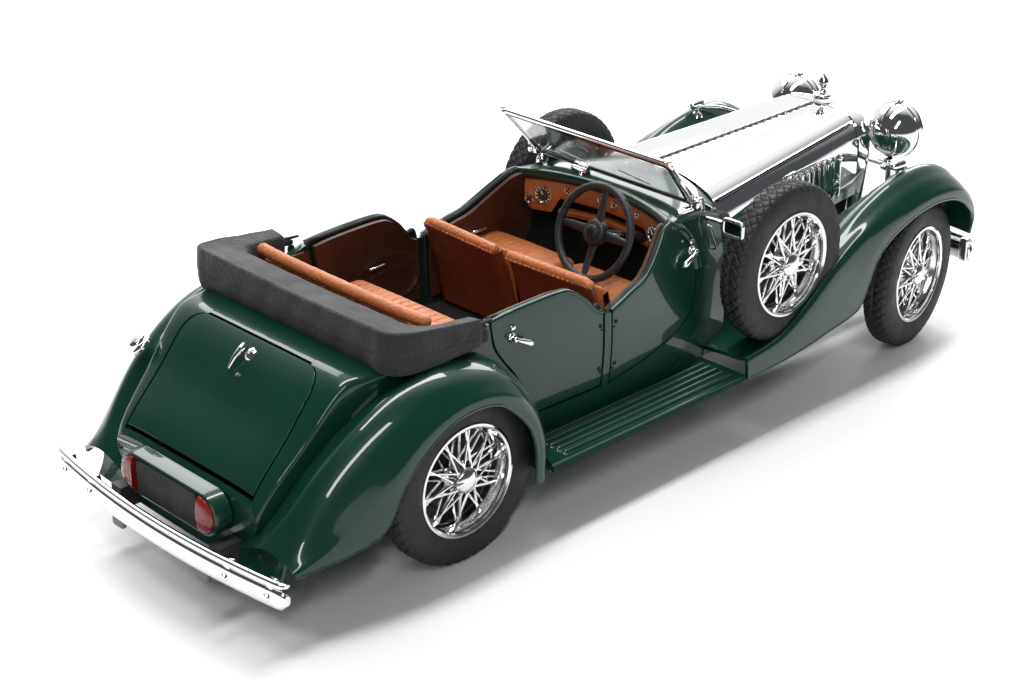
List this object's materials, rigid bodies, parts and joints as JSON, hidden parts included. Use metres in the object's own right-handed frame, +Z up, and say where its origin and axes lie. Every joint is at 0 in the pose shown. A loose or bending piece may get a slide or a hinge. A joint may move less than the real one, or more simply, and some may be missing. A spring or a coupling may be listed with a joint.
{
  "type": "diecast collector car",
  "caption": "Scale model of a late 1930s open four-door tourer with opening doors, bonnet and boot, steered front wheels and a folded hood.",
  "frame": {"origin": "middle of the model's footprint, on the ground under the tyres", "axes": "+X towards the nose, +Y towards the car's left side, +Z up"},
  "size_m": [0.2046, 0.0704, 0.0591],
  "materials": {
    "paint": "deep green gloss",
    "chrome": "mirror bright",
    "chassis": "black satin",
    "steel": "satin",
    "engine": "cast, satin",
    "tyre": "matt black",
    "leather": "tan, satin",
    "card": "dark brown",
    "hood_cloth": "matt black",
    "carpet": "matt",
    "plastic": "black",
    "glass": "clear",
    "red_lens": "clear red"
  },
  "bodies": {
    "car": {"body_shell": "paint", "rear_wing_left": "paint", "rear_wing_right": "paint", "front_wing_left": "paint", "front_wing_right": "paint", "running_board_left": "paint", "running_board_right": "paint", "chassis_frame": "chassis", "rear_axle": "steel", "front_axle_beam": "steel", "spare_wheel_left": "tyre", "spare_wheel_right": "tyre", "radiator_shell": "chrome", "radiator_grille": "chrome", "radiator_mascot": "chrome", "engine_block": "engine", "headlamp_bowl_left": "chrome", "headlamp_bowl_right": "chrome", "headlamp_lens_left": "glass", "headlamp_lens_right": "glass", "lamp_bar": "chrome", "front_bumper": "chrome", "rear_bumper": "chrome", "number_plate_box": "paint", "tail_lamp_left": "red_lens", "tail_lamp_right": "red_lens", "fuel_filler_cap": "chrome", "cockpit_floor": "carpet", "dashboard": "leather", "front_seat_left": "leather", "front_seat_right": "leather", "rear_seat": "leather", "folded_hood": "hood_cloth", "steering_column": "plastic", "door_mirror": "chrome"},
    "door_front_left": {"door_front_left": "paint", "door_trim_front_left": "card"},
    "door_front_right": {"door_front_right": "paint", "door_trim_front_right": "card"},
    "door_rear_left": {"door_rear_left": "paint", "door_trim_rear_left": "card"},
    "door_rear_right": {"door_rear_right": "paint", "door_trim_rear_right": "card"},
    "boot_lid": {"boot_lid": "paint"},
    "bonnet_left": {"bonnet_left": "chrome"},
    "bonnet_right": {"bonnet_right": "chrome"},
    "windscreen": {"windscreen_frame": "chrome", "windscreen_glass": "glass"},
    "steering_wheel": {"steering_wheel": "plastic"},
    "knuckle_left": {"steering_knuckle_left": "steel"},
    "knuckle_right": {"steering_knuckle_right": "steel"},
    "track_rod": {"track_rod": "steel"},
    "wheel_front_left": {"tyre_front_left": "tyre", "wire_wheel_front_left": "chrome"},
    "wheel_front_right": {"tyre_front_right": "tyre", "wire_wheel_front_right": "chrome"},
    "wheel_rear_left": {"tyre_rear_left": "tyre", "wire_wheel_rear_left": "chrome"},
    "wheel_rear_right": {"tyre_rear_right": "tyre", "wire_wheel_rear_right": "chrome"}
  },
  "joints": [
    {"name": "door_front_left_hinge", "type": "hinge", "parent": "car", "child": "door_front_left", "pos_m": [-0.01592, 0.027, 0.03], "axis": [0, 0, 1], "range_deg": [0, 70]},
    {"name": "door_front_right_hinge", "type": "hinge", "parent": "car", "child": "door_front_right", "pos_m": [-0.01592, -0.027, 0.03], "axis": [0, 0, -1], "range_deg": [0, 70]},
    {"name": "door_rear_left_hinge", "type": "hinge", "parent": "car", "child": "door_rear_left", "pos_m": [-0.01808, 0.027, 0.03], "axis": [0, 0, -1], "range_deg": [0, 70]},
    {"name": "door_rear_right_hinge", "type": "hinge", "parent": "car", "child": "door_rear_right", "pos_m": [-0.01808, -0.027, 0.03], "axis": [0, 0, 1], "range_deg": [0, 70]},
    {"name": "boot_lid_hinge", "type": "hinge", "parent": "car", "child": "boot_lid", "pos_m": [-0.09345, 0, 0.02325], "axis": [0, -1, 0], "range_deg": [0, 115]},
    {"name": "bonnet_left_hinge", "type": "hinge", "parent": "car", "child": "bonnet_left", "pos_m": [0.05, 0, 0.0492], "axis": [1, 0, 0], "range_deg": [0, 60]},
    {"name": "bonnet_right_hinge", "type": "hinge", "parent": "car", "child": "bonnet_right", "pos_m": [0.05, 0, 0.0492], "axis": [-1, 0, 0], "range_deg": [0, 60]},
    {"name": "windscreen_fold", "type": "hinge", "parent": "car", "child": "windscreen", "pos_m": [0.0125, 0, 0.0482], "axis": [0, 1, 0], "range_deg": [0, 88]},
    {"name": "steering_wheel_turn", "type": "hinge", "parent": "car", "child": "steering_wheel", "pos_m": [-0.0045, -0.011, 0.0436], "axis": [-0.9397, 0, 0.342], "range_deg": [-115, 46]},
    {"name": "knuckle_left_steer", "type": "hinge", "parent": "car", "child": "knuckle_left", "pos_m": [0.078, 0.025, 0.01645], "axis": [0, 0, 1], "range_deg": [-28.6, 11.4]},
    {"name": "knuckle_right_steer", "type": "hinge", "parent": "car", "child": "knuckle_right", "pos_m": [0.078, -0.025, 0.01645], "axis": [0, 0, 1], "range_deg": [-28.7, 11.5]},
    {"name": "track_rod_slide", "type": "slide", "parent": "car", "child": "track_rod", "axis": [0, 1, 0], "range_m": [-0.0019, 0.0047]},
    {"name": "wheel_front_left_spin", "type": "hinge", "parent": "knuckle_left", "child": "wheel_front_left", "pos_m": [0.07758, 0.02777, 0.01645], "axis": [-0.1495, 0.9888, 0], "continuous": true},
    {"name": "wheel_front_right_spin", "type": "hinge", "parent": "knuckle_right", "child": "wheel_front_right", "pos_m": [0.07842, -0.02777, 0.01645], "axis": [-0.1495, 0.9888, 0], "continuous": true},
    {"name": "wheel_rear_left_spin", "type": "hinge", "parent": "car", "child": "wheel_rear_left", "pos_m": [-0.056, 0.0278, 0.01645], "axis": [0, 1, 0], "continuous": true},
    {"name": "wheel_rear_right_spin", "type": "hinge", "parent": "car", "child": "wheel_rear_right", "pos_m": [-0.056, -0.0278, 0.01645], "axis": [0, 1, 0], "continuous": true}
  ],
  "couplings": [
    {"joint": "knuckle_right_steer", "follows": "knuckle_left_steer", "ratio": 1},
    {"joint": "track_rod_slide", "follows": "knuckle_left_steer", "m_per_rad": -0.0093},
    {"joint": "steering_wheel_turn", "follows": "knuckle_left_steer", "ratio": 4}
  ]
}
